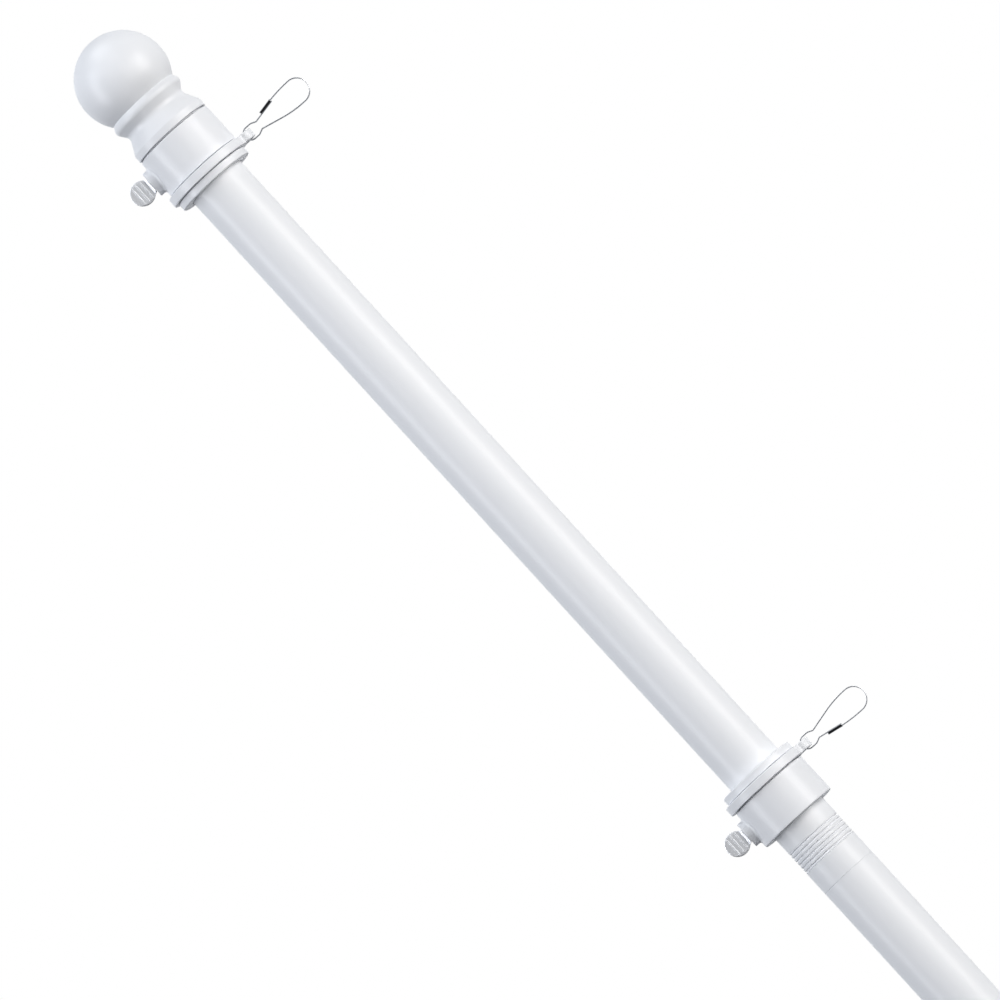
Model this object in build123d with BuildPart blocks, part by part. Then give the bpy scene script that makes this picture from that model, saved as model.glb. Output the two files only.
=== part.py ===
from build123d import *
from math import acos, asin, atan2, cos, hypot, sin, sqrt, tan
import os

# Sectional flagpole: a white tube in screwed sections, a ball finial, and two clamped collars.
# Each collar carries a free-turning ring with a sprung strip clip for a flag's eyelet.
# Units are millimetres. The origin is the centre of the butt end face, and +Z runs up the pole.

# Pole tube
tube_diameter = 25.4
tube_wall = 1.0
tube_length = 400.0
section_count = 4

# Screwed couplings between the sections
grip_band_height = 10.7
plain_band_height = 10.9
groove_count = 6
groove_pitch = 1.8
groove_width = 1.0
groove_depth = 0.45
spigot_depth = 18.0
spigot_clearance = 0.05
coupling_bore_radius = 6.0
thread_radius = 9.2
thread_length = 14.0
thread_clearance = 0.1
thread_end_gap = 1.0
band_edge = 0.2

# Butt plug
plug_flange_height = 2.0
plug_depth = 15.0
plug_edge = 0.8

# Ball finial, with heights above its base
ball_radius = 20.0
finial_base_radius = 17.6
finial_band_height = 3.5
cove_corner_radius = 13.95
cove_height = 10.4
bead_corner_radius = 17.4
bead_height = 15.3
neck_radius = 15.95
neck_height = 18.1
band_bend = 1.5
cove_bend = 2.9
bead_bend = 2.5
finial_edge = 0.4
socket_depth = 18.0
socket_clearance = 0.05
core_radius = 11.0
core_draft = 1.0
core_height = 40.0
core_tip_height = 43.0

# Collars, with heights above the end that faces away from the ring
collar_radius = 17.5
collar_height = 18.0
collar_bore_clearance = 0.25
collar_edge = 0.5
journal_radius = 15.0
cap_seat_step = 0.6
cap_height = 3.3
cap_clearance = 0.05
finial_gap = 0.3
bare_neck = 8.2

# Thumbscrews
boss_radius = 5.8
boss_reach = 20.2
boss_root_bend = 1.0
boss_edge = 0.3
screw_radius = 2.5
screw_clearance = 0.1
screw_tip_gap = 0.15
hub_gap = 0.3
hub_half_width = 3.05
facet_run = 1.0
paddle_radius = 5.2
paddle_centre = 25.2
paddle_thickness = 2.0
rib_pitch = 2.1
rib_count = 3
rib_width = 0.4
rib_height = 0.2
rib_margin = 0.5

# Swivel rings
ring_height = 3.9
ring_radius = 19.3
ring_clearance = 0.2
ring_body_gap = 0.4
ring_cap_gap = 0.2
ring_edge = 0.4
ear_tip = 24.3
ear_half_width = 4.0
ear_root_bend = 1.5
ear_hole_radius = 1.7
ear_bar = 1.8

# Snap clips, measured from the centre of the ear's bar to the middle of the strip
strip_thickness = 0.5
strip_width = 2.4
clip_reach = 30.3
clip_half_width = 5.3
clip_shoulder = 18.8
shoulder_bend_run = 5.4
neck_reach = 4.6
neck_half_width = 1.9
neck_bend = 0.8
eye_radius = 2.9
eye_bend = 2.8
eye_shoulder = 2.3
eye_shoulder_bend = 1.5
keeper_start = 8.3
keeper_end = 14.9
keeper_wall = 0.3
keeper_lip = 0.15
keeper_clearance = 0.06
lap_gap = 0.18

# Sizes that follow from the ones above
tube_radius = tube_diameter / 2
tube_bore_radius = tube_radius - tube_wall
spigot_radius = tube_bore_radius - spigot_clearance
section_pitch = tube_length + plain_band_height + grip_band_height
tube_levels = [plug_flange_height + n * section_pitch for n in range(section_count)]
joint_levels = [level + tube_length + plain_band_height for level in tube_levels[:-1]]
finial_level = tube_levels[-1] + tube_length - socket_depth
ball_height = neck_height + sqrt(ball_radius**2 - neck_radius**2)

collar_bore_radius = tube_radius + collar_bore_clearance
ring_bottom = collar_height + ring_body_gap
journal_top = ring_bottom + ring_height + ring_cap_gap
cap_seat_radius = journal_radius - cap_seat_step
collar_total = journal_top + cap_height
screw_height = collar_height / 2
ring_middle = ring_bottom + ring_height / 2
ear_hole_centre = ear_tip - ear_bar - ear_hole_radius
clip_pivot = ear_tip - ear_bar / 2

os.makedirs("parts", exist_ok=True)


def export_piece(name, piece):
    piece.part.label = name
    export_step(piece.part, f"parts/{name}.step")


def side_plane(frame):
    """The plane through the frame's axis, its x outwards and its y along the frame's normal."""
    return Plane(origin=frame.origin, x_dir=frame.x_dir, z_dir=-frame.y_dir)


def outer_edges(piece, frame):
    """The outer edges of the piece's two end faces across frame's normal."""
    ends = piece.faces().sort_by(Axis(frame.origin, frame.z_dir))
    return ends[0].outer_wire().edges() + ends[-1].outer_wire().edges()


# Pole tubes, numbered from the butt up
for number, level in enumerate(tube_levels, start=1):
    with BuildPart() as tube:
        with BuildSketch(Plane.XY.offset(level)):
            Circle(tube_radius)
            Circle(tube_bore_radius, mode=Mode.SUBTRACT)
        extrude(amount=tube_length)
    export_piece(f"tube_section_{number}", tube)

# Grip couplings: a ribbed band above each joint, with a spigot up into its tube and a threaded stub down
groove_margin = (grip_band_height - (groove_count - 1) * groove_pitch) / 2
for number, level in enumerate(joint_levels, start=1):
    with BuildPart() as grip:
        with BuildSketch(Plane.XY.offset(level)):
            Circle(tube_radius)
        extrude(amount=grip_band_height)
        chamfer(outer_edges(grip, Plane.XY), band_edge)
        with BuildSketch(Plane.XZ):
            for groove in range(groove_count):
                with Locations((tube_radius, level + groove_margin + groove * groove_pitch)):
                    Polygon((0, groove_width / 2), (-groove_depth, 0), (0, -groove_width / 2), align=None)
        revolve(axis=Axis.Z, mode=Mode.SUBTRACT)
        with BuildSketch(Plane.XY.offset(level + grip_band_height)):
            Circle(spigot_radius)
        extrude(amount=spigot_depth)
        with BuildSketch(Plane.XY.offset(level)):
            Circle(thread_radius)
        extrude(amount=-thread_length)
        with BuildSketch(Plane.XY.offset(level - thread_length)):
            Circle(coupling_bore_radius)
        extrude(amount=thread_length + grip_band_height + spigot_depth, mode=Mode.SUBTRACT)
    export_piece(f"grip_coupling_{number}", grip)

# Socket couplings: a plain band below each joint, bored for the stub, with a spigot down into its tube
for number, level in enumerate(joint_levels, start=1):
    with BuildPart() as socket:
        with BuildSketch(Plane.XY.offset(level)):
            Circle(tube_radius)
        extrude(amount=-plain_band_height)
        chamfer(outer_edges(socket, Plane.XY), band_edge)
        with BuildSketch(Plane.XY.offset(level - plain_band_height)):
            Circle(spigot_radius)
        extrude(amount=-spigot_depth)
        with BuildSketch(Plane.XY.offset(level)):
            Circle(thread_radius + thread_clearance)
        extrude(amount=-thread_length - thread_end_gap, mode=Mode.SUBTRACT)
        with BuildSketch(Plane.XY.offset(level)):
            Circle(coupling_bore_radius)
        extrude(amount=-plain_band_height - spigot_depth, mode=Mode.SUBTRACT)
    export_piece(f"socket_coupling_{number}", socket)

# Butt plug, closing the lowest tube
with BuildPart() as plug:
    with BuildSketch(Plane.XY):
        Circle(tube_radius)
    extrude(amount=plug_flange_height)
    chamfer(plug.edges().group_by(Axis.Z)[0], plug_edge)
    with BuildSketch(Plane.XY.offset(plug_flange_height)):
        Circle(spigot_radius)
    extrude(amount=plug_depth)
export_piece("butt_plug", plug)

# Ball finial: a moulded shell turned about the pole's axis, with a socket for the top tube
finial_frame = Plane.XY.offset(finial_level)
socket_radius = tube_radius + socket_clearance
with BuildPart() as finial:
    with BuildSketch(side_plane(finial_frame)):
        with BuildLine():
            skirt = FilletPolyline(
                (finial_base_radius, 0),
                (finial_base_radius, finial_band_height),
                (cove_corner_radius, cove_height),
                (bead_corner_radius, bead_height),
                (neck_radius, neck_height),
                radius=[band_bend, cove_bend, bead_bend],
            )
            ThreePointArc(skirt @ 1, (ball_radius, ball_height), (0, ball_height + ball_radius))
            Polyline(
                (0, ball_height + ball_radius),
                (0, core_tip_height),
                (core_radius - core_draft, core_height),
                (core_radius, socket_depth),
                (socket_radius, socket_depth),
                (socket_radius, 0),
                (finial_base_radius, 0),
            )
        make_face()
    revolve(axis=Axis.Z)
    chamfer(finial.faces().sort_by(Axis.Z)[0].outer_wire().edges(), finial_edge)
export_piece("ball_finial", finial)


def make_collar_body(name, frame):
    """A bored collar with a boss for the thumbscrew, and a reduced journal and cap seat above it."""
    boss_centre = frame.from_local_coords((0, 0, screw_height))
    boss_frame = Plane(boss_centre, x_dir=frame.z_dir, z_dir=-frame.x_dir)
    along_boss = Axis(boss_centre, -frame.x_dir)
    with BuildPart() as collar:
        with BuildSketch(frame):
            Circle(collar_radius)
        extrude(amount=collar_height)
        chamfer(outer_edges(collar, frame), collar_edge)
        with BuildSketch(boss_frame):
            Circle(boss_radius)
        extrude(amount=boss_reach)
        fillet(collar.edges(Select.LAST).sort_by(along_boss)[0], boss_root_bend)
        chamfer(collar.faces().sort_by(along_boss)[-1].edges(), boss_edge)
        with BuildSketch(frame.offset(collar_height)):
            Circle(journal_radius)
        extrude(amount=journal_top - collar_height)
        with BuildSketch(frame.offset(journal_top)):
            Circle(cap_seat_radius)
        extrude(amount=cap_height)
        with BuildSketch(frame):
            Circle(collar_bore_radius)
        extrude(amount=collar_total, mode=Mode.SUBTRACT)
        with BuildSketch(boss_frame):
            Circle(screw_radius + screw_clearance)
        extrude(amount=boss_reach, mode=Mode.SUBTRACT)
    export_piece(name, collar)


def make_retaining_cap(name, frame):
    """A flat cap seated on the collar's journal, which keeps the ring on it."""
    with BuildPart() as cap:
        with BuildSketch(frame.offset(journal_top)):
            Circle(collar_radius)
        extrude(amount=cap_height)
        chamfer(outer_edges(cap, frame), collar_edge)
        with BuildSketch(frame.offset(journal_top)):
            Circle(cap_seat_radius + cap_clearance)
        extrude(amount=cap_height, mode=Mode.SUBTRACT)
    export_piece(name, cap)


def make_swivel_ring(name, frame):
    """A flat ring that turns on the collar's journal, with a pierced ear for the clip."""
    ear_end_centre = ear_tip - ear_half_width
    with BuildPart() as ring:
        with BuildSketch(frame.offset(ring_bottom)) as outline:
            with Locations((ear_end_centre / 2, 0)):
                Rectangle(ear_end_centre, 2 * ear_half_width)
            with Locations((ear_end_centre, 0)):
                Circle(ear_half_width)
            Circle(ring_radius)
            roots = outline.vertices().filter_by(lambda v: abs(Vector(v).length - ring_radius) < ring_edge)
            fillet(roots, ear_root_bend)
        extrude(amount=ring_height)
        chamfer(outer_edges(ring, frame), ring_edge)
        with BuildSketch(frame.offset(ring_bottom)):
            Circle(journal_radius + ring_clearance)
            with Locations((ear_hole_centre, 0)):
                Circle(ear_hole_radius)
        extrude(amount=ring_height, mode=Mode.SUBTRACT)
    export_piece(name, ring)


def make_thumbscrew(name, frame):
    """A screw with a flat ribbed paddle, which clamps the collar to the tube."""
    hub_face = boss_reach + hub_gap
    # The paddle's shoulders leave its disc on the tangents from the hub's edge
    hub_offset = paddle_centre - hub_face
    spread = hypot(hub_offset, hub_half_width)
    tangent_angle = atan2(hub_half_width, hub_offset) + acos(paddle_radius / spread)
    tangent_height = paddle_radius * sin(tangent_angle)
    tangent_reach = paddle_centre - paddle_radius * cos(tangent_angle)
    shoulders = [
        (hub_face, -hub_half_width),
        (tangent_reach, -tangent_height),
        (tangent_reach, tangent_height),
        (hub_face, hub_half_width),
    ]
    screw_centre = frame.from_local_coords((0, 0, screw_height))
    middle = Plane(screw_centre, x_dir=-frame.x_dir, z_dir=frame.y_dir)
    across = Plane(screw_centre, x_dir=-frame.x_dir, z_dir=frame.z_dir)
    along_screw = Plane(screw_centre, x_dir=frame.z_dir, z_dir=-frame.x_dir)
    screw_tip = tube_radius + screw_tip_gap
    with BuildPart() as screw:
        with BuildSketch(middle):
            Polygon(*shoulders, align=None)
        extrude(amount=hub_half_width, both=True)
        # Two slanting facets lead from the hub's width down to the paddle's thickness
        with BuildSketch(across):
            Polygon(
                (hub_face, -hub_half_width),
                (hub_face + facet_run, -paddle_thickness / 2),
                (hub_face + facet_run, paddle_thickness / 2),
                (hub_face, hub_half_width),
                align=None,
            )
        extrude(amount=tangent_height, both=True, mode=Mode.INTERSECT)
        with BuildSketch(along_screw.offset(screw_tip)):
            Circle(screw_radius)
        extrude(amount=hub_face - screw_tip)
        with BuildSketch(middle):
            with Locations((paddle_centre, 0)):
                Circle(paddle_radius)
            Polygon(*shoulders, align=None)
        extrude(amount=paddle_thickness / 2, both=True)
        with BuildSketch(middle):
            for rib in range(rib_count):
                offset_from_centre = (rib - (rib_count - 1) / 2) * rib_pitch
                half_chord = sqrt((paddle_radius - rib_margin) ** 2 - offset_from_centre**2)
                with Locations((paddle_centre + offset_from_centre, 0)):
                    Rectangle(rib_width, 2 * half_chord)
        extrude(amount=paddle_thickness / 2 + rib_height, both=True)
    export_piece(name, screw)


def make_snap_clip(name, frame):
    """A flat spring strip bent to a teardrop loop, with an eye round the ear's bar.

    One end of the strip is folded to a channel, the keeper, and the other end springs into it.
    """
    pivot = frame.from_local_coords((clip_pivot, 0, ring_middle))
    plane = side_plane(Plane(pivot, frame.x_dir, frame.z_dir))
    # The keeper lies beside the tongue, and both are in line with the stretch from neck to shoulder
    leg_run = clip_shoulder - neck_reach
    leg_rise = clip_half_width - neck_half_width
    lap = strip_thickness + lap_gap
    lap_slope = tan(atan2(leg_rise, leg_run) - asin(lap / hypot(leg_rise, leg_run)))
    lap_stretch = hypot(1, lap_slope)
    lap_step = lap * lap_stretch

    def inner_leg(reach):
        return -neck_half_width - lap_slope * (reach - neck_reach)

    tongue_bend = shoulder_bend_run / tan(atan2(lap_slope, 1) / 2)
    free_bend = shoulder_bend_run / tan(atan2(leg_rise, leg_run) / 2)
    channel_half_width = strip_width / 2 + keeper_clearance
    channel_floor = strip_thickness / 2 * lap_stretch
    channel_depth = channel_floor + lap_step + keeper_lip
    with BuildPart() as clip:
        with BuildSketch(plane):
            Polygon(
                (keeper_start, inner_leg(keeper_start) + channel_floor),
                (keeper_end, inner_leg(keeper_end) + channel_floor),
                (keeper_end, inner_leg(keeper_end) - channel_depth),
                (keeper_start, inner_leg(keeper_start) - channel_depth),
                align=None,
            )
        extrude(amount=channel_half_width + keeper_wall, both=True)
        with BuildSketch(plane):
            Polygon(
                (keeper_start, inner_leg(keeper_start) - channel_floor),
                (keeper_end, inner_leg(keeper_end) - channel_floor),
                (keeper_end, inner_leg(keeper_end) - channel_depth),
                (keeper_start, inner_leg(keeper_start) - channel_depth),
                align=None,
            )
        extrude(amount=channel_half_width, both=True, mode=Mode.SUBTRACT)
        with BuildSketch(plane):
            with BuildLine():
                FilletPolyline(
                    (keeper_start, inner_leg(keeper_start) - lap_step),
                    (clip_shoulder, -clip_half_width),
                    (clip_reach, -clip_half_width),
                    (clip_reach, clip_half_width),
                    (clip_shoulder, clip_half_width),
                    (neck_reach, neck_half_width),
                    (eye_shoulder, eye_radius),
                    (-eye_radius, eye_radius),
                    (-eye_radius, -eye_radius),
                    (eye_shoulder, -eye_radius),
                    (neck_reach, -neck_half_width),
                    (keeper_end, inner_leg(keeper_end)),
                    radius=[
                        tongue_bend,
                        clip_half_width,
                        clip_half_width,
                        free_bend,
                        neck_bend,
                        eye_shoulder_bend,
                        eye_bend,
                        eye_bend,
                        eye_shoulder_bend,
                        neck_bend,
                    ],
                )
            trace(line_width=strip_thickness)
        extrude(amount=strip_width / 2, both=True)
    export_piece(name, clip)


# The upper collar stands against the finial with its ring below, and the lower one has its ring above
upper_level = finial_level - finial_gap
lower_level = tube_levels[-1] + bare_neck
collar_frames = {
    "upper": Plane(origin=(0, 0, upper_level), x_dir=(1, 0, 0), z_dir=(0, 0, -1)),
    "lower": Plane(origin=(0, 0, lower_level), x_dir=(1, 0, 0), z_dir=(0, 0, 1)),
}
for place, collar_frame in collar_frames.items():
    make_collar_body(f"{place}_collar_body", collar_frame)
    make_retaining_cap(f"{place}_retaining_cap", collar_frame)
    make_swivel_ring(f"{place}_swivel_ring", collar_frame)
    make_thumbscrew(f"{place}_thumbscrew", collar_frame)
    make_snap_clip(f"{place}_snap_clip", collar_frame)
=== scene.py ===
from functools import partial
from math import acos, asin, atan2, cos, hypot, pi, radians, sin, sqrt, tan

import bmesh
import bpy
import numpy as np
from mathutils import Matrix, Vector
from mathutils.geometry import tessellate_polygon


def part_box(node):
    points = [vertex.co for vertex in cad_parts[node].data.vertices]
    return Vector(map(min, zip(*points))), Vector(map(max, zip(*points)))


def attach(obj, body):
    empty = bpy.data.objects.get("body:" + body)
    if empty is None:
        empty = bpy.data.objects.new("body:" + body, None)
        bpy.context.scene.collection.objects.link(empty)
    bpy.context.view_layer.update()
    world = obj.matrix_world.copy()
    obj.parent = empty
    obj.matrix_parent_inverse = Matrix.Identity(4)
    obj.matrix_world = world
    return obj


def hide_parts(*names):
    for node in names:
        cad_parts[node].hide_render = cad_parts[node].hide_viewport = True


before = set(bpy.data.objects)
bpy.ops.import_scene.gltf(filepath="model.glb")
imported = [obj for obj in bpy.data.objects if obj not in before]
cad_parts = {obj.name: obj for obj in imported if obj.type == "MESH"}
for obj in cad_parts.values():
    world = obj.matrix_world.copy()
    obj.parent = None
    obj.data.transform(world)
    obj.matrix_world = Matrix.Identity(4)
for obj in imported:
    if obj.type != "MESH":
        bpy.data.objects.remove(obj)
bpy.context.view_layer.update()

# A white sectional flagpole: a coated tube in screwed sections, a moulded ball finial, and two clamped
# collars whose free-turning rings carry sprung strip clips. Sizes are in millimetres and are set on the
# solids' own levels; a mesh takes metres.
MM = 0.001

# Couplings
tube_radius = 12.7
spigot_radius = 11.65
spigot_depth = 18.0
spigot_root_bend = 0.02
spigot_edge = 0.5
coupling_bore_radius = 6.0
coupling_bore_edge = 0.3
grip_band = 10.7
grip_edge = 0.2
groove_count = 6
groove_pitch = 1.8
groove_half_width = 0.45
groove_depth = 0.6
groove_bends = (0.12, 0.1, 0.12)
stub_radius = 9.2
stub_length = 14.0
stub_thread_pitch = 1.75
stub_thread_depth = 0.7

# Ball finial, with heights from its base
ball_radius = 20.0
neck_corner = (15.95, 18.1)
neck_bend = 0.12
bead_corner = (17.4, 15.3)
bead_bend = 2.5
cove_corner = (13.95, 10.4)
cove_bend = 2.9
base_radius = 17.6
base_band = 3.5
band_bend = 1.5
base_relief = 0.35
base_edge = 0.35
base_rim_radius = 15.5
rim_bend = 0.05
socket_radius = 12.75
socket_depth = 18.0
socket_mouth_edge = 0.3
socket_end_bend = 0.2
core_radii = (11.0, 10.0)
core_heights = (40.0, 43.0)
core_bends = (0.3, 1.5)

# Collars, caps and rings, with heights from the end that faces away from the ring
collar_radius = 17.5
collar_height = 18.0
collar_edge = 0.5
collar_bore_radius = 12.95
collar_top = 25.8
journal_radius = 15.0
journal_top = 22.5
journal_bend = 0.1
seat_radius = 14.4
seat_edge = 0.3
cap_bore_radius = 14.45
cap_bore_edge = 0.15
boss_radius = 5.8
boss_reach = 20.2
boss_edge = 0.3
boss_side = 1.0
boss_root_bend = 1.0
boss_hidden_end = collar_bore_radius + 1
ring_bottom = 18.4
ring_height = 3.9
ring_radius = 19.3
ring_bore_radius = 15.2
ring_edge = 0.4
ear_tip = 24.3
ear_half_width = 4.0
ear_root_bend = 1.5
ear_hole_centre = 20.8
ear_hole_radius = 1.7

# Thumbscrews
screw_radius = 2.5
screw_bore_radius = 2.6
screw_bore_edge = 0.25
screw_bore_end_bend = 0.1
screw_tip = 12.85
screw_pitch = 0.8
screw_thread_depth = 0.42
hub_root = 20.3
hub_face = 20.5
hub_half_width = 3.05
hub_edge = 0.2
hub_steps = 5
facet_run = 1.0
paddle_centre = 25.2
paddle_radius = 5.2
paddle_thickness = 2.0
paddle_edge = 0.25
rib_offsets = (-2.1, 0.0, 2.1)
rib_half_width = 0.35
rib_height = 0.045
rib_margin = 0.5
rib_rows = 25
rib_around = 16

# Snap clips, measured from the centre of the ear's bar
clip_pivot = 23.4
strip_thickness = 0.5
strip_width = 2.4
strip_edge = 0.13
strip_step = 0.16
clip_reach = 30.3
clip_half_width = 5.3
clip_shoulder = 18.8
shoulder_bend_run = 5.4
clip_neck_reach = 4.6
clip_neck_half_width = 1.9
clip_neck_bend = 0.8
eye_radius = 2.9
eye_bend = 2.8
eye_shoulder = 2.3
eye_shoulder_bend = 1.5
keeper_start = 8.3
keeper_end = 14.9
keeper_wall = 0.3
keeper_lip = 0.15
keeper_clearance = 0.06
keeper_seat = 0.6
keeper_skin = 0.01
keeper_outer_fold = 0.4
keeper_inner_fold = 0.15
keeper_edge = 0.13
keeper_steps = 24
lap_gap = 0.18

# The leg from the neck is sloped so that the lapped end lies beside it, one strip and a gap further out
leg_run = clip_shoulder - clip_neck_reach
leg_rise = clip_half_width - clip_neck_half_width
lap = strip_thickness + lap_gap
leg_slope = tan(atan2(leg_rise, leg_run) - asin(lap / hypot(leg_rise, leg_run)))


# Lines and surfaces


def bent_line(corners, bends, steps=6):
    """Straight runs between the corners, and round each inner corner an arc that touches both runs.

    A point of the arc is its centre plus the two touching spokes, each times the sine of the angle
    that is left to it, over the sine of the whole turn.
    """
    corners = np.asarray(corners, float)
    done = np.linspace(0, 1, steps + 1)[:, None]
    runs = [corners[:1]]
    for before, corner, after, bend in zip(corners, corners[1:], corners[2:], bends):
        back = (before - corner) / np.linalg.norm(before - corner)
        onward = (after - corner) / np.linalg.norm(after - corner)
        half = acos(np.clip(back @ onward, -1, 1)) / 2
        turn = pi - 2 * half
        middle = (back + onward) / np.linalg.norm(back + onward)
        centre = corner + middle * bend / sin(half)
        first_spoke = corner + back * bend / tan(half) - centre
        last_spoke = corner + onward * bend / tan(half) - centre
        mix = np.sin((1 - done) * turn) * first_spoke + np.sin(done * turn) * last_spoke
        runs.append(centre + mix / sin(turn))
    runs.append(corners[-1:])
    return np.concatenate(runs)


def rounded_rectangle(half_width, half_height, bend):
    """A closed outline about the middle, anticlockwise from the middle of its lower side."""
    w, h = half_width, half_height
    return bent_line([(0, -h), (w, -h), (w, h), (-w, h), (-w, -h), (0, -h)], [bend] * 4, 4)[:-1]


def arc(centre, radius, start, end, steps):
    """Points of a circle, centre + radius (cos a, sin a), with a from start to end in equal steps."""
    angle = np.linspace(start, end, steps + 1)
    return np.stack([centre[0] + radius * np.cos(angle), centre[1] + radius * np.sin(angle)], axis=1)


def evenly_spaced(line, spacing):
    """The line's points again at equal distances along it, and those distances, read off its length."""
    length = np.concatenate([[0], np.cumsum(np.linalg.norm(np.diff(line, axis=0), axis=1))])
    stations = np.linspace(0, length[-1], int(length[-1] / spacing) + 1)
    return np.stack([np.interp(stations, length, line[:, k]) for k in range(2)], axis=1), stations


def grid_faces(rows, columns, ring_of_rows=False, ring_of_columns=False):
    """The four-cornered faces between a grid's points, with its ends joined where it is a ring."""
    row = np.arange(rows if ring_of_rows else rows - 1)[:, None]
    column = np.arange(columns if ring_of_columns else columns - 1)[None, :]
    next_row = (row + 1) % rows * columns
    next_column = (column + 1) % columns
    row = row * columns
    corners = [row + column, next_row + column, next_row + next_column, row + next_column]
    return np.stack([c.ravel() for c in corners], axis=1).tolist()


def closed_run_faces(rows, around):
    """The faces between a closed outline's copies along a run, with one flat face at both ends."""
    ends = [list(range(around)), list(range(around * (rows - 1), around * rows))]
    return grid_faces(rows, around, False, True) + ends


def turned(profile, around=224, ring=True):
    """A profile of radius and height carried round +Z: (radius cos a, radius sin a, height).

    A ring joins the profile's last point to its first, and otherwise both lie on the axis.
    """
    angle = np.linspace(0, 2 * pi, around, endpoint=False)[:, None]
    radius, height = profile[:, 0], profile[:, 1]
    points = np.stack([radius * np.cos(angle), radius * np.sin(angle), height + 0 * angle], axis=2)
    return points.reshape(-1, 3), grid_faces(around, len(profile), True, ring)


def threaded(radius, depth, pitch, length, inner, around=72, rows=10):
    """A screw thread round +Z, whose radius falls by depth times a wave of angle and height.

    The wave is a cosine raised towards its crest, one wave a pitch, and it fades out over the last
    half pitch at both ends.
    """
    count = int(length / pitch * rows)
    height = np.linspace(0, length, count + 1)[None, :]
    angle = np.linspace(0, 2 * pi, around, endpoint=False)[:, None]
    wave = (0.5 - 0.5 * np.cos(2 * pi * height / pitch - angle)) ** 0.8
    fade = np.clip(np.minimum(height, length - height) / (0.5 * pitch), 0, 1)
    out = radius - depth * (1 - fade * (1 - wave))
    out = np.concatenate([np.full((around, 1), inner), out, np.full((around, 1), inner)], axis=1)
    up = np.concatenate([np.zeros((1, 1)), height, np.full((1, 1), length)], axis=1)
    points = np.stack([out * np.cos(angle), out * np.sin(angle), up + 0 * angle], axis=2)
    return points.reshape(-1, 3), grid_faces(around, out.shape[1], True, True)


def loop_normals(loop):
    """Unit vectors to the right of a closed loop, square to the chord between each point's neighbours."""
    chord = np.roll(loop, -1, axis=0) - np.roll(loop, 1, axis=0)
    normal = np.stack([chord[:, 1], -chord[:, 0]], axis=1)
    return normal / np.linalg.norm(normal, axis=1)[:, None]


def plate(outline, holes, low, high, edge):
    """A flat plate between two heights, its walls the outline and the holes, with rounded edges.

    The outline runs anticlockwise and the holes clockwise. A wall point is the loop's point less its
    normal times edge (1 - sin t), and its height is edge (1 - cos t) from a face, over a quarter turn t.
    """
    t = np.linspace(0, pi / 2, 6)
    inset = np.concatenate([edge * (1 - np.sin(t)), edge * (1 - np.sin(t[::-1]))])
    height = np.concatenate([high - edge * (1 - np.cos(t)), low + edge * (1 - np.cos(t[::-1]))])
    points, faces, rims, count = [], [], [], 0
    for loop in [outline, *holes]:
        normal = loop_normals(loop)
        flat = loop[:, None, :] - normal[:, None, :] * inset[None, :, None]
        tall = np.broadcast_to(height[None, :, None], flat.shape[:2] + (1,))
        points.append(np.concatenate([flat, tall], axis=2).reshape(-1, 3))
        faces += [[k + count for k in f] for f in grid_faces(len(loop), len(inset), True, False)]
        rims.append(count + np.arange(len(loop)) * len(inset))
        count += len(loop) * len(inset)
    points = np.concatenate(points)
    for shift in (0, len(inset) - 1):
        rim = np.concatenate(rims) + shift
        loops = [[Vector((x, y, 0)) for x, y in points[r + shift, :2]] for r in rims]
        faces += [[int(rim[k]) for k in triangle] for triangle in tessellate_polygon(loops)]
    return points, faces


def carried(path, section):
    """A section carried along a flat path in x and z: path + sideways · normal, with its width along y.

    The path's normal is its direction turned a quarter turn. Both ends are closed by one flat face.
    """
    direction = np.gradient(path, axis=0)
    direction /= np.linalg.norm(direction, axis=1)[:, None]
    normal = np.stack([-direction[:, 1], direction[:, 0]], axis=1)
    flat = path[:, None, :] + normal[:, None, :] * section[None, :, :1]
    wide = np.broadcast_to(section[None, :, 1:], flat.shape[:2] + (1,))
    points = np.concatenate([flat, wide], axis=2).reshape(-1, 3)
    return points[:, [0, 2, 1]], closed_run_faces(len(path), len(section))


def laid_out(distance, section):
    """Each point's place on a carried strip laid out flat: along it, across its width and through it."""
    along = np.repeat(distance, len(section))
    across = np.tile(section[:, 1], len(distance))
    through = np.tile(section[:, 0], len(distance))
    return np.stack([along, across, through], axis=1)


# Finishes


def new_node(tree, kind, **settings):
    """A new node of a shader, with its named inputs and settings."""
    node = tree.nodes.new(kind)
    for key, value in settings.items():
        if key in node.inputs:
            node.inputs[key].default_value = value
        else:
            setattr(node, key, value)
    return node


def node_tree(name):
    """A new material with its shader, and short ways to add and to join nodes in it."""
    material = bpy.data.materials.new(name)
    material.use_nodes = True
    tree = material.node_tree
    return material, tree.nodes["Principled BSDF"], partial(new_node, tree), tree.links.new


def mapped(add, join, value, before, after, shape="LINEAR"):
    """A value whose range before is carried over to the range after."""
    ends = {"From Min": before[0], "From Max": before[1], "To Min": after[0], "To Max": after[1]}
    change = add("ShaderNodeMapRange", interpolation_type=shape, **ends)
    join(value, change.inputs["Value"])
    return change.outputs["Result"]


def mixed_colour(add, join, share, low, high):
    """A colour between two, by the share of the second."""
    mix = add("ShaderNodeMix", data_type="RGBA")
    mix.inputs[6].default_value = (*low, 1)
    mix.inputs[7].default_value = (*high, 1)
    join(share, mix.inputs[0])
    return mix.outputs[2]


def follow_grain(shader, add, join, grain, roughness, spread, strength, relief):
    """Lets the shader's roughness and relief rise and fall with a grain."""
    dull = mapped(add, join, grain, (0, 1), (roughness - spread, roughness + spread))
    join(dull, shader.inputs["Roughness"])
    bump = add("ShaderNodeBump", Strength=strength, Distance=relief)
    join(grain, bump.inputs["Height"])
    join(bump.outputs["Normal"], shader.inputs["Normal"])


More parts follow.
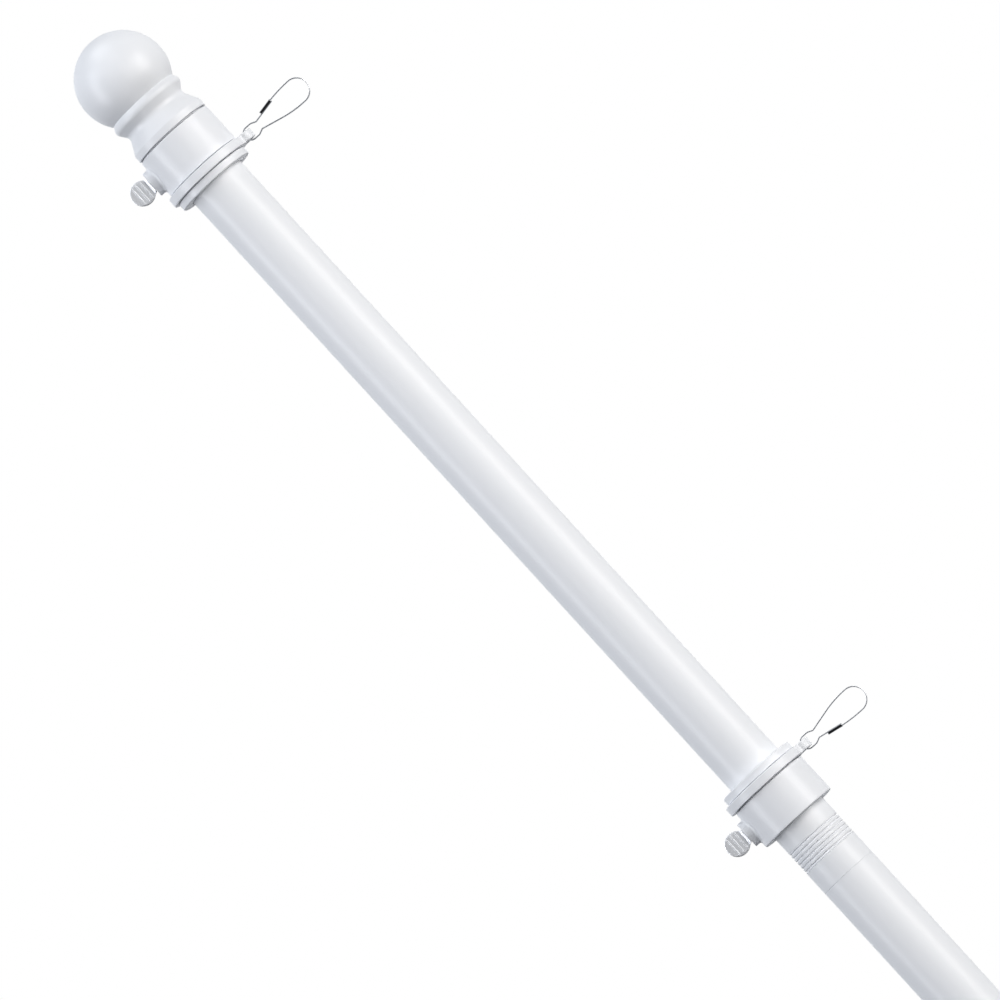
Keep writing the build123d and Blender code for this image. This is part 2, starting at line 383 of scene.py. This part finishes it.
def white_finish(name, pale, shade, roughness, grain_scale, streak=1.0):
    """A white finish: its colour drifts between two whites, and its gloss and relief follow a fine grain.

    A streak below 1 draws both out along the pole.
    """
    material, shader, add, join = node_tree(name)
    place = add("ShaderNodeTexCoord")
    turn = add("ShaderNodeMapping")
    turn.inputs["Scale"].default_value = (1, 1, streak)
    join(place.outputs["Object"], turn.inputs["Vector"])
    drift = add("ShaderNodeTexNoise", Scale=35.0, Detail=3.0)
    fine = add("ShaderNodeTexNoise", Scale=grain_scale, Detail=2.0)
    for texture in (drift, fine):
        join(turn.outputs["Vector"], texture.inputs["Vector"])
    join(mixed_colour(add, join, drift.outputs["Fac"], shade, pale), shader.inputs["Base Color"])
    follow_grain(shader, add, join, fine.outputs["Fac"], roughness, 0.03, 0.6, 0.00001)
    shader.inputs["IOR"].default_value = 1.5
    return material


def steel_finish(name, colour, roughness, spread, scratch_scale, relief, along_piece):
    """Drawn steel: fine scratches along the strip or across the paddle change its tint, gloss and relief."""
    material, shader, add, join = node_tree(name)
    place = add("ShaderNodeAttribute", attribute_name="lay") if along_piece else add("ShaderNodeTexCoord")
    stretch = add("ShaderNodeMapping")
    stretch.inputs["Scale"].default_value = scratch_scale
    join(place.outputs["Vector" if along_piece else "Object"], stretch.inputs["Vector"])
    scratches = add("ShaderNodeTexNoise", Scale=1.0, Detail=4.0, Roughness=0.6)
    join(stretch.outputs["Vector"], scratches.inputs["Vector"])
    depth = scratches.outputs["Fac"]
    darker = [0.86 * c for c in colour]
    join(mixed_colour(add, join, depth, darker, colour), shader.inputs["Base Color"])
    follow_grain(shader, add, join, depth, roughness, spread, 0.5, relief)
    shader.inputs["Metallic"].default_value = 1.0
    return material


glossy_moulding = white_finish(
    "glossy white moulding",
    pale=(0.845, 0.857, 0.885),
    shade=(0.82, 0.832, 0.862),
    roughness=0.36,
    grain_scale=420.0,
)
satin_coating = white_finish(
    "satin white coating",
    pale=(0.868, 0.88, 0.905),
    shade=(0.843, 0.856, 0.882),
    roughness=0.4,
    grain_scale=900.0,
    streak=0.35,
)
satin_moulding = white_finish(
    "satin white moulding",
    pale=(0.865, 0.877, 0.902),
    shade=(0.835, 0.848, 0.874),
    roughness=0.38,
    grain_scale=700.0,
)
spring_strip = steel_finish(
    "polished spring strip",
    colour=(0.79, 0.795, 0.81),
    roughness=0.22,
    spread=0.05,
    scratch_scale=(120, 2600, 2600),
    relief=0.000004,
    along_piece=True,
)
# Painted dark reflection: the polished keeper's steel colour is set far darker than the strip's. This stands
# in for the dark surroundings the keeper mirrors.
keeper_steel_painted_dark = steel_finish(
    "polished keeper steel",
    colour=(0.31, 0.315, 0.33),
    roughness=0.08,
    spread=0.04,
    scratch_scale=(120, 2600, 2600),
    relief=0.000002,
    along_piece=True,
)
screw_metal = steel_finish(
    "satin screw metal",
    colour=(0.79, 0.795, 0.815),
    roughness=0.38,
    spread=0.05,
    scratch_scale=(2400, 2400, 90),
    relief=0.000006,
    along_piece=False,
)


# Pieces


def make_piece(name, surfaces, finishes, body, node, lay=None):
    """Joins the surfaces to one mesh with its faces outwards, and puts it in its node's place on its body.

    There is one finish for the whole piece, or one for each surface. A lay is kept on the points as
    their place on the piece laid out flat.
    """
    points, faces, finish_of_face, count = [], [], [], 0
    for number, (more_points, more_faces) in enumerate(surfaces):
        points.append(more_points)
        faces += [[k + count for k in face] for face in more_faces]
        finish_of_face += [min(number, len(finishes) - 1)] * len(more_faces)
        count += len(more_points)
    mesh = bpy.data.meshes.new(name)
    mesh.from_pydata((np.concatenate(points) * MM).tolist(), [], faces)
    mesh.polygons.foreach_set("material_index", finish_of_face)
    if lay is not None:
        kept = mesh.attributes.new("lay", "FLOAT_VECTOR", "POINT")
        kept.data.foreach_set("vector", (lay * MM).astype(np.float32).ravel())
    work = bmesh.new()
    work.from_mesh(mesh)
    bmesh.ops.remove_doubles(work, verts=work.verts, dist=1e-7)
    bmesh.ops.recalc_face_normals(work, faces=work.faces)
    work.to_mesh(mesh)
    work.free()
    mesh.shade_smooth()
    piece = bpy.data.objects.new(name, mesh)
    bpy.context.scene.collection.objects.link(piece)
    shading = piece.modifiers.new("shading", "WEIGHTED_NORMAL")
    shading.weight = 100
    for finish in finishes:
        mesh.materials.append(finish)
    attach(piece, body)
    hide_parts(node)


def set_level(surface, level, direction):
    """A surface with its heights measured from a level, up or down the pole; downwards it is mirrored."""
    points, faces = surface
    return points * (1, 1, direction) + (0, 0, level), faces


def make_ball_finial():
    """The finial's turned profile: ball, neck, bead, cove and band, then back up its socket and core."""
    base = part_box("ball_finial")[0].z / MM
    ball_height = neck_corner[1] + sqrt(ball_radius**2 - neck_corner[0] ** 2)
    neck_angle = atan2(neck_corner[1] - ball_height, neck_corner[0])
    ball = arc((0, ball_height), ball_radius, pi / 2, neck_angle, steps=110)
    corners = [
        ball[-2],
        neck_corner,
        bead_corner,
        cove_corner,
        (base_radius, base_band),
        (base_radius, base_relief),
        (base_rim_radius, base_relief),
        (base_rim_radius, 0),
        (socket_radius, 0),
        (socket_radius, socket_depth),
        (core_radii[0], socket_depth),
        (core_radii[1], core_heights[0]),
        (0, core_heights[1]),
    ]
    bends = [
        neck_bend,
        bead_bend,
        cove_bend,
        band_bend,
        base_edge,
        rim_bend,
        rim_bend,
        socket_mouth_edge,
        socket_end_bend,
        *core_bends,
    ]
    profile = np.concatenate([ball[:-1], bent_line(corners, bends, steps=8)[1:]])
    make_piece(
        "ball_finial_turned",
        [set_level(turned(profile, ring=False), base, 1)],
        [glossy_moulding],
        "pole",
        "ball_finial",
    )


def make_grip_coupling(number):
    """A band with ribs between V grooves, its spigot up into the tube, and a screw thread below it."""
    node = f"grip_coupling_{number}"
    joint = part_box(node)[0].z / MM + stub_length
    margin = (grip_band - (groove_count - 1) * groove_pitch) / 2
    middles = margin + groove_pitch * np.arange(groove_count)
    offsets = np.array([[0, -groove_half_width], [-groove_depth, 0], [0, groove_half_width]])
    grooves = (np.stack([0 * middles + tube_radius, middles], axis=1)[:, None] + offsets).reshape(-1, 2)
    corners = [
        (coupling_bore_radius, 0),
        (tube_radius, 0),
        *grooves,
        (tube_radius, grip_band),
        (spigot_radius, grip_band),
        (spigot_radius, grip_band + spigot_depth),
        (coupling_bore_radius, grip_band + spigot_depth),
        (coupling_bore_radius, 0),
    ]
    spigot_bends = [spigot_root_bend, spigot_edge, coupling_bore_edge]
    bends = [grip_edge, *groove_bends * groove_count, grip_edge, *spigot_bends]
    band = set_level(turned(bent_line(corners, bends, steps=5)[:-1]), joint, 1)
    thread = threaded(stub_radius, stub_thread_depth, stub_thread_pitch, stub_length, coupling_bore_radius)
    make_piece(
        f"{node}_ribbed",
        [band, set_level(thread, joint, -1)],
        [satin_moulding],
        "pole",
        node,
    )


def screw_boss():
    """The boss carried round -X, with the screw's hole through it.

    At its root its radius narrows from the bend's outside by bend · sin t, while it rises from the
    collar's face, at depth sqrt(collar radius² - across²), by bend · (1 - cos t).
    """
    t = np.linspace(0, pi / 2, 9)
    root_radius = boss_radius + boss_root_bend * (1 - np.sin(t))
    root_rise = boss_root_bend * (1 - np.cos(t))
    corners = [
        (boss_radius, boss_reach - boss_side),
        (boss_radius, boss_reach),
        (screw_bore_radius, boss_reach),
        (screw_bore_radius, boss_hidden_end),
        (boss_radius, boss_hidden_end),
    ]
    end_radius, end_reach = bent_line(corners, [boss_edge, screw_bore_edge, screw_bore_end_bend], steps=7).T
    around = np.linspace(0, 2 * pi, 120, endpoint=False)[:, None]
    radius = np.concatenate([root_radius, end_radius])[None, :] + 0 * around
    across = radius * np.sin(around)
    face = np.sqrt(collar_radius**2 - across[:, : len(t)] ** 2)
    reach = np.concatenate([face + root_rise, end_reach + 0 * around], axis=1)
    points = np.stack([-reach, across, collar_height / 2 + radius * np.cos(around)], axis=2)
    return points.reshape(-1, 3), grid_faces(len(around), radius.shape[1], True, True)


def make_collar_body(place, level, direction):
    """The collar's turned profile with its journal and cap seat, and the boss for the screw."""
    corners = [
        (collar_bore_radius, 0),
        (collar_radius, 0),
        (collar_radius, collar_height),
        (journal_radius, collar_height),
        (journal_radius, journal_top),
        (seat_radius, journal_top),
        (seat_radius, collar_top),
        (collar_bore_radius, collar_top),
    ]
    bends = [collar_edge, collar_edge, journal_bend, journal_bend, journal_bend, seat_edge]
    collar = turned(bent_line(corners, bends, steps=7), around=256)
    node = f"{place}_collar_body"
    make_piece(
        f"{node}_moulded",
        [set_level(collar, level, direction), set_level(screw_boss(), level, direction)],
        [glossy_moulding],
        f"{place}_collar",
        node,
    )


def make_retaining_cap(place, level, direction):
    """The flat cap's turned profile, with rounded edges."""
    halfway = (journal_top + collar_top) / 2
    corners = [
        (cap_bore_radius, halfway),
        (cap_bore_radius, journal_top),
        (collar_radius, journal_top),
        (collar_radius, collar_top),
        (cap_bore_radius, collar_top),
        (cap_bore_radius, halfway),
    ]
    bends = [cap_bore_edge, collar_edge, collar_edge, cap_bore_edge]
    cap = turned(bent_line(corners, bends, steps=7)[:-1], around=256)
    node = f"{place}_retaining_cap"
    make_piece(
        f"{node}_moulded",
        [set_level(cap, level, direction)],
        [glossy_moulding],
        f"{place}_collar",
        node,
    )


def make_swivel_ring(place, level, direction):
    """The ring and its pierced ear as one plate: arcs for the ring, the ear's roots and the ear's end."""
    end_centre = ear_tip - ear_half_width
    root_across = ear_half_width + ear_root_bend
    root_out = sqrt((ring_radius + ear_root_bend) ** 2 - root_across**2)
    root_angle = atan2(root_across, root_out)
    outline = np.concatenate(
        [
            arc((0, 0), ring_radius, root_angle, 2 * pi - root_angle, steps=300)[:-1],
            arc((root_out, -root_across), ear_root_bend, pi - root_angle, pi / 2, steps=10),
            arc((end_centre, 0), ear_half_width, -pi / 2, pi / 2, steps=48),
            arc((root_out, root_across), ear_root_bend, 3 * pi / 2, pi + root_angle, steps=10)[:-1],
        ]
    )
    bore = arc((0, 0), ring_bore_radius, 0, -2 * pi, steps=240)[:-1]
    hole = arc((ear_hole_centre, 0), ear_hole_radius, 0, -2 * pi, steps=60)[:-1]
    ring = plate(outline, [bore, hole], ring_bottom, ring_bottom + ring_height, ring_edge)
    node = f"{place}_swivel_ring"
    make_piece(
        f"{node}_moulded",
        [set_level(ring, level, direction)],
        [glossy_moulding],
        f"{place}_ring",
        node,
    )


def paddle_rib(away, face):
    """A long ellipsoid half sunk in a face of the paddle, some way from its middle.

    A point is (half width · k · cos v, half length · s, height · k · sin v), with k = sqrt(1 - s⁸).
    """
    half_length = sqrt((paddle_radius - rib_margin) ** 2 - away**2)
    s = np.sin(np.linspace(-pi / 2, pi / 2, rib_rows))[:, None]
    v = np.linspace(0, 2 * pi, rib_around, endpoint=False)[None, :]
    k = np.sqrt(np.clip(1 - s**8, 0, 1))
    across = away + rib_half_width * k * np.cos(v)
    along = half_length * s + 0 * v
    out = face + rib_height * k * np.sin(v)
    points = np.stack([across, along, out], axis=2).reshape(-1, 3)
    return points, grid_faces(rib_rows, rib_around, False, True)


def screw_hub(shoulder_slope):
    """A rounded rectangle carried outwards from the boss to the paddle.

    Its width falls along two slanting facets to the paddle's thickness, and its height grows with the
    paddle's shoulders. At its root it is drawn in by edge - sqrt(edge² - (edge - run)²).
    """
    neck = hub_face - hub_root
    facet = np.linspace(1 / hub_steps, 1, hub_steps)
    run = np.concatenate([np.linspace(0, neck, hub_steps), neck + facet_run * facet])
    drawn_in = hub_edge - np.sqrt(hub_edge**2 - np.clip(hub_edge - run, 0, hub_edge) ** 2)
    narrowing = (hub_half_width - paddle_thickness / 2) / facet_run
    loops = []
    for reach, inset in zip(hub_root + run, drawn_in):
        past_face = max(reach - hub_face, 0)
        tall = hub_half_width + shoulder_slope * past_face - inset
        wide = hub_half_width - narrowing * past_face - inset
        loop = rounded_rectangle(tall, wide, hub_edge)
        loops.append(np.stack([loop[:, 0], loop[:, 1], 0 * loop[:, 0] + reach], axis=1))
    return np.concatenate(loops), closed_run_faces(len(run), len(loops[0]))


def make_thumbscrew(place, level, direction):
    """The screw's thread turned about its own axis, its faceted hub, and its ribbed paddle as a plate."""
    offset = paddle_centre - hub_face
    tangent = atan2(hub_half_width, offset) + acos(paddle_radius / hypot(offset, hub_half_width))
    outline = np.concatenate(
        [
            arc((0, 0), paddle_radius, tangent - pi, pi - tangent, steps=90),
            [(-offset, hub_half_width), (-offset, 0), (-offset, -hub_half_width)],
        ]
    )
    half = paddle_thickness / 2
    paddle = plate(outline, [], -half, half, paddle_edge)
    ribs = [paddle_rib(away, face) for face in (-half, half) for away in rib_offsets]
    shoulder_rise = paddle_radius * sin(tangent) - hub_half_width
    hub, hub_faces = screw_hub(shoulder_rise / (offset - paddle_radius * cos(tangent)))
    shank = hub_face - screw_tip
    thread, thread_faces = threaded(screw_radius, screw_thread_depth, screw_pitch, shank, 0.0, around=60)
    # The paddle and ribs lie in the plane of the pole's axis, and the hub and thread run out along x
    surfaces = [(points[:, [0, 2, 1]] + (paddle_centre, 0, 0), faces) for points, faces in [paddle, *ribs]]
    surfaces.append((hub[:, [2, 1, 0]], hub_faces))
    surfaces.append((thread[:, [2, 1, 0]] + (screw_tip, 0, 0), thread_faces))
    placed = [(points * (-1, 1, 1) + (0, 0, collar_height / 2), faces) for points, faces in surfaces]
    node = f"{place}_thumbscrew"
    make_piece(
        f"{node}_ribbed",
        [set_level(surface, level, direction) for surface in placed],
        [screw_metal],
        f"{place}_screw",
        node,
    )


def sloped_leg(reach):
    """The point of the leg from the neck's middle line at a reach from the ear's bar."""
    return reach, -clip_neck_half_width - leg_slope * (reach - clip_neck_reach)


def clip_path():
    """The strip's middle line: from its lapped end round the teardrop and the eye, and into the keeper."""
    start = sloped_leg(keeper_start)
    corners = [
        (start[0], start[1] - lap * hypot(1, leg_slope)),
        (clip_shoulder, -clip_half_width),
        (clip_reach, -clip_half_width),
        (clip_reach, clip_half_width),
        (clip_shoulder, clip_half_width),
        (clip_neck_reach, clip_neck_half_width),
        (eye_shoulder, eye_radius),
        (-eye_radius, eye_radius),
        (-eye_radius, -eye_radius),
        (eye_shoulder, -eye_radius),
        (clip_neck_reach, -clip_neck_half_width),
        sloped_leg(keeper_start + keeper_seat),
    ]
    lapped_bend = shoulder_bend_run / tan(atan2(leg_slope, 1) / 2)
    free_bend = shoulder_bend_run / tan(atan2(leg_rise, leg_run) / 2)
    loop_bends = [lapped_bend, clip_half_width, clip_half_width, free_bend]
    eye_bends = [clip_neck_bend, eye_shoulder_bend, eye_bend, eye_bend, eye_shoulder_bend, clip_neck_bend]
    return bent_line(corners, loop_bends + eye_bends, steps=40)


def keeper_section():
    """The keeper's closed outline: a base round the strip's end, and two walls beside the lapped end."""
    inside = strip_width / 2 + keeper_clearance
    outside = inside + keeper_wall
    base = strip_thickness / 2 + keeper_skin
    depth = strip_thickness / 2 + lap + keeper_lip
    half_corners = [(base, outside), (-depth, outside), (-depth, inside), (-base, inside)]
    other_half = [(x, -y) for x, y in reversed(half_corners)]
    half_bends = [keeper_outer_fold, keeper_edge, keeper_edge, keeper_inner_fold]
    corners = [(base, 0), *half_corners, *other_half, (base, 0)]
    return bent_line(corners, half_bends + half_bends[::-1], steps=5)[:-1]


def make_snap_clip(place, level, direction):
    """The sprung strip: a rounded flat section carried along the teardrop path, and its folded keeper."""
    path, distance = evenly_spaced(clip_path(), strip_step)
    section = rounded_rectangle(strip_thickness / 2, strip_width / 2, strip_edge)
    ends = np.array([sloped_leg(keeper_start), sloped_leg(keeper_end)])
    stations = np.linspace(0, 1, keeper_steps)
    keeper_path = ends[0] + stations[:, None] * (ends[1] - ends[0])
    keeper_distance = stations * hypot(*(ends[1] - ends[0]))
    channel = keeper_section()
    middle = ring_bottom + ring_height / 2
    surfaces = [carried(path, section), carried(keeper_path, channel)]
    placed = [(points + (clip_pivot, 0, middle), faces) for points, faces in surfaces]
    node = f"{place}_snap_clip"
    make_piece(
        f"{node}_strip",
        [set_level(surface, level, direction) for surface in placed],
        [spring_strip, keeper_steel_painted_dark],
        f"{place}_clip",
        node,
        np.concatenate([laid_out(distance, section), laid_out(keeper_distance, channel)]),
    )


make_ball_finial()
for number in (1, 2, 3):
    make_grip_coupling(number)
collars = {
    "upper": (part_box("upper_collar_body")[1].z / MM, -1),
    "lower": (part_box("lower_collar_body")[0].z / MM, 1),
}
for place, (level, direction) in collars.items():
    make_collar_body(place, level, direction)
    make_retaining_cap(place, level, direction)
    make_swivel_ring(place, level, direction)
    make_thumbscrew(place, level, direction)
    make_snap_clip(place, level, direction)

for node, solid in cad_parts.items():
    coated = node.startswith("tube_section")
    solid.data.materials.clear()
    solid.data.materials.append(satin_coating if coated else satin_moulding)


# Camera: square to the plane in which the screws and clips stand out, a little from below, and rolled so
# that the pole lies aslant

target = Vector((-0.0023, 0, 1.4507))
frame_width = 0.4022
lens = 600.0
sensor = 36.0
from_below = radians(4.2)
roll = radians(42.44)
camera_data = bpy.data.cameras.new("camera")
camera_data.lens = lens
camera_data.sensor_width = sensor
camera_data.clip_end = 100
camera = bpy.data.objects.new("camera", camera_data)
bpy.context.scene.collection.objects.link(camera)
forward = Vector((0, cos(from_below), sin(from_below)))
side = Vector((1, 0, 0))
up = side.cross(forward)
right = side * cos(roll) - up * sin(roll)
above = side * sin(roll) + up * cos(roll)
place_of_camera = target - forward * (frame_width * lens / sensor)
camera_axes = Matrix((right, above, -forward)).transposed().to_4x4()
camera.matrix_world = Matrix.Translation(place_of_camera) @ camera_axes
bpy.context.scene.camera = camera


# Light: soft panels round the pole, a slim one for the streak on the thumbscrews' side, and a pale room

panel_distance = 2.2


def soft_panel(name, angle, height, wide, tall, watts, tint):
    """A flat panel that faces the pole, from an angle about it (0 is the camera's side, 90 is +X).

    The height is an angle too, above the level of the picture's middle. Both are in degrees.
    """
    panel_data = bpy.data.lights.new(name, "AREA")
    panel_data.shape = "RECTANGLE"
    panel_data.size = wide
    panel_data.size_y = tall
    panel_data.energy = watts
    panel_data.color = tint
    panel = bpy.data.objects.new(name, panel_data)
    turn, rise = radians(angle), radians(height)
    away = Vector((sin(turn) * cos(rise), -cos(turn) * cos(rise), sin(rise)))
    panel.location = target + away * panel_distance
    panel.rotation_euler = away.to_track_quat("Z", "Y").to_euler()
    panel.visible_camera = False
    bpy.context.scene.collection.objects.link(panel)
    return panel


warm = (1, 0.985, 0.965)
cool = (0.95, 0.965, 1.0)
soft_panel("main panel", angle=60, height=4, wide=1.1, tall=1.6, watts=36.5, tint=warm)
soft_panel("front panel", angle=30, height=4, wide=1.1, tall=1.6, watts=13.5, tint=warm)
soft_panel("slim panel", angle=-67, height=10, wide=0.6, tall=1.6, watts=23, tint=cool)
soft_panel("upper left panel", angle=-60, height=45, wide=1.1, tall=1.1, watts=13, tint=(0.93, 0.955, 1.0))
soft_panel("overhead panel", angle=0, height=88, wide=1.1, tall=1.1, watts=10, tint=(0.96, 0.98, 1.0))
rear_panel = soft_panel("rear panel", angle=180, height=2, wide=1.1, tall=1.6, watts=42, tint=(1, 1, 1))
# The clips' thin strip would mirror this panel and fade into the white room
rear_panel.visible_glossy = False

world = bpy.data.worlds.new("pale room")
bpy.context.scene.world = world
world.use_nodes = True
room = world.node_tree
room_node = partial(new_node, room)
outlook = room_node("ShaderNodeTexCoord")
parts = room_node("ShaderNodeSeparateXYZ")
room.links.new(outlook.outputs["Generated"], parts.inputs[0])


def room_change(part, before, after):
    """A smooth change from one strength to another, over a range of one part of the outlook's direction."""
    return mapped(room_node, room.links.new, parts.outputs[part], before, after, "SMOOTHSTEP")


backdrop = room_node("ShaderNodeBackground", Color=(1, 1, 1, 1), Strength=1.0)
ambient = room_node("ShaderNodeBackground", Color=(0.72, 0.84, 1.0, 1))
mirrored = room_node("ShaderNodeBackground", Color=(0.93, 0.96, 1.0, 1))
rays = room_node("ShaderNodeLightPath")
for_gloss = room_node("ShaderNodeMixShader")
for_camera = room_node("ShaderNodeMixShader")
# The room is paler above than below. As pieces mirror it, it falls to dark below the level and in a
# patch behind the camera
room.links.new(room_change("Z", (-0.3, 0.3), (0.02, 0.11)), ambient.inputs["Strength"])
mirrored_strength = room_node("ShaderNodeMath", operation="MULTIPLY")
room.links.new(room_change("Y", (-0.99, -0.95), (0.04, 1.0)), mirrored_strength.inputs[0])
room.links.new(room_change("Z", (-0.4, 0.0), (0.1, 1.0)), mirrored_strength.inputs[1])
room.links.new(mirrored_strength.outputs[0], mirrored.inputs["Strength"])
room.links.new(rays.outputs["Is Glossy Ray"], for_gloss.inputs[0])
room.links.new(ambient.outputs[0], for_gloss.inputs[1])
room.links.new(mirrored.outputs[0], for_gloss.inputs[2])
room.links.new(rays.outputs["Is Camera Ray"], for_camera.inputs[0])
room.links.new(for_gloss.outputs[0], for_camera.inputs[1])
room.links.new(backdrop.outputs[0], for_camera.inputs[2])
room.links.new(for_camera.outputs[0], room.nodes["World Output"].inputs["Surface"])

bpy.context.scene.view_settings.view_transform = "Standard"


# Floor: a pale patch under the butt that takes its shadow, and fades out into the white room

floor_radius = 0.9
floor_solid_radius = 0.1
floor_drop = 0.0005
floor_corners = 96


def floor_finish():
    """A matt pale paint with a faint drift, which fades out from the floor's solid middle to its rim."""
    material, shader, add, join = node_tree("pale floor")
    shader.inputs["Roughness"].default_value = 0.9
    place = add("ShaderNodeTexCoord")
    drift = add("ShaderNodeTexNoise", Scale=6.0, Detail=2.0)
    join(place.outputs["Object"], drift.inputs["Vector"])
    tint = mixed_colour(add, join, drift.outputs["Fac"], (0.84, 0.84, 0.85), (0.86, 0.86, 0.87))
    join(tint, shader.inputs["Base Color"])
    distance = add("ShaderNodeVectorMath", operation="LENGTH")
    join(place.outputs["Object"], distance.inputs[0])
    reach = (floor_solid_radius, floor_radius)
    join(
        mapped(add, join, distance.outputs["Value"], reach, (1.0, 0.0), "SMOOTHSTEP"),
        shader.inputs["Alpha"],
    )
    return material


rim = arc((0, 0), floor_radius, 0, 2 * pi, floor_corners)[:-1]
floor_mesh = bpy.data.meshes.new("floor")
floor_mesh.from_pydata([(x, y, 0) for x, y in rim.tolist()], [], [list(range(floor_corners))])
floor_mesh.materials.append(floor_finish())
floor = bpy.data.objects.new("floor", floor_mesh)
bpy.context.scene.collection.objects.link(floor)
floor.location.z = -floor_drop
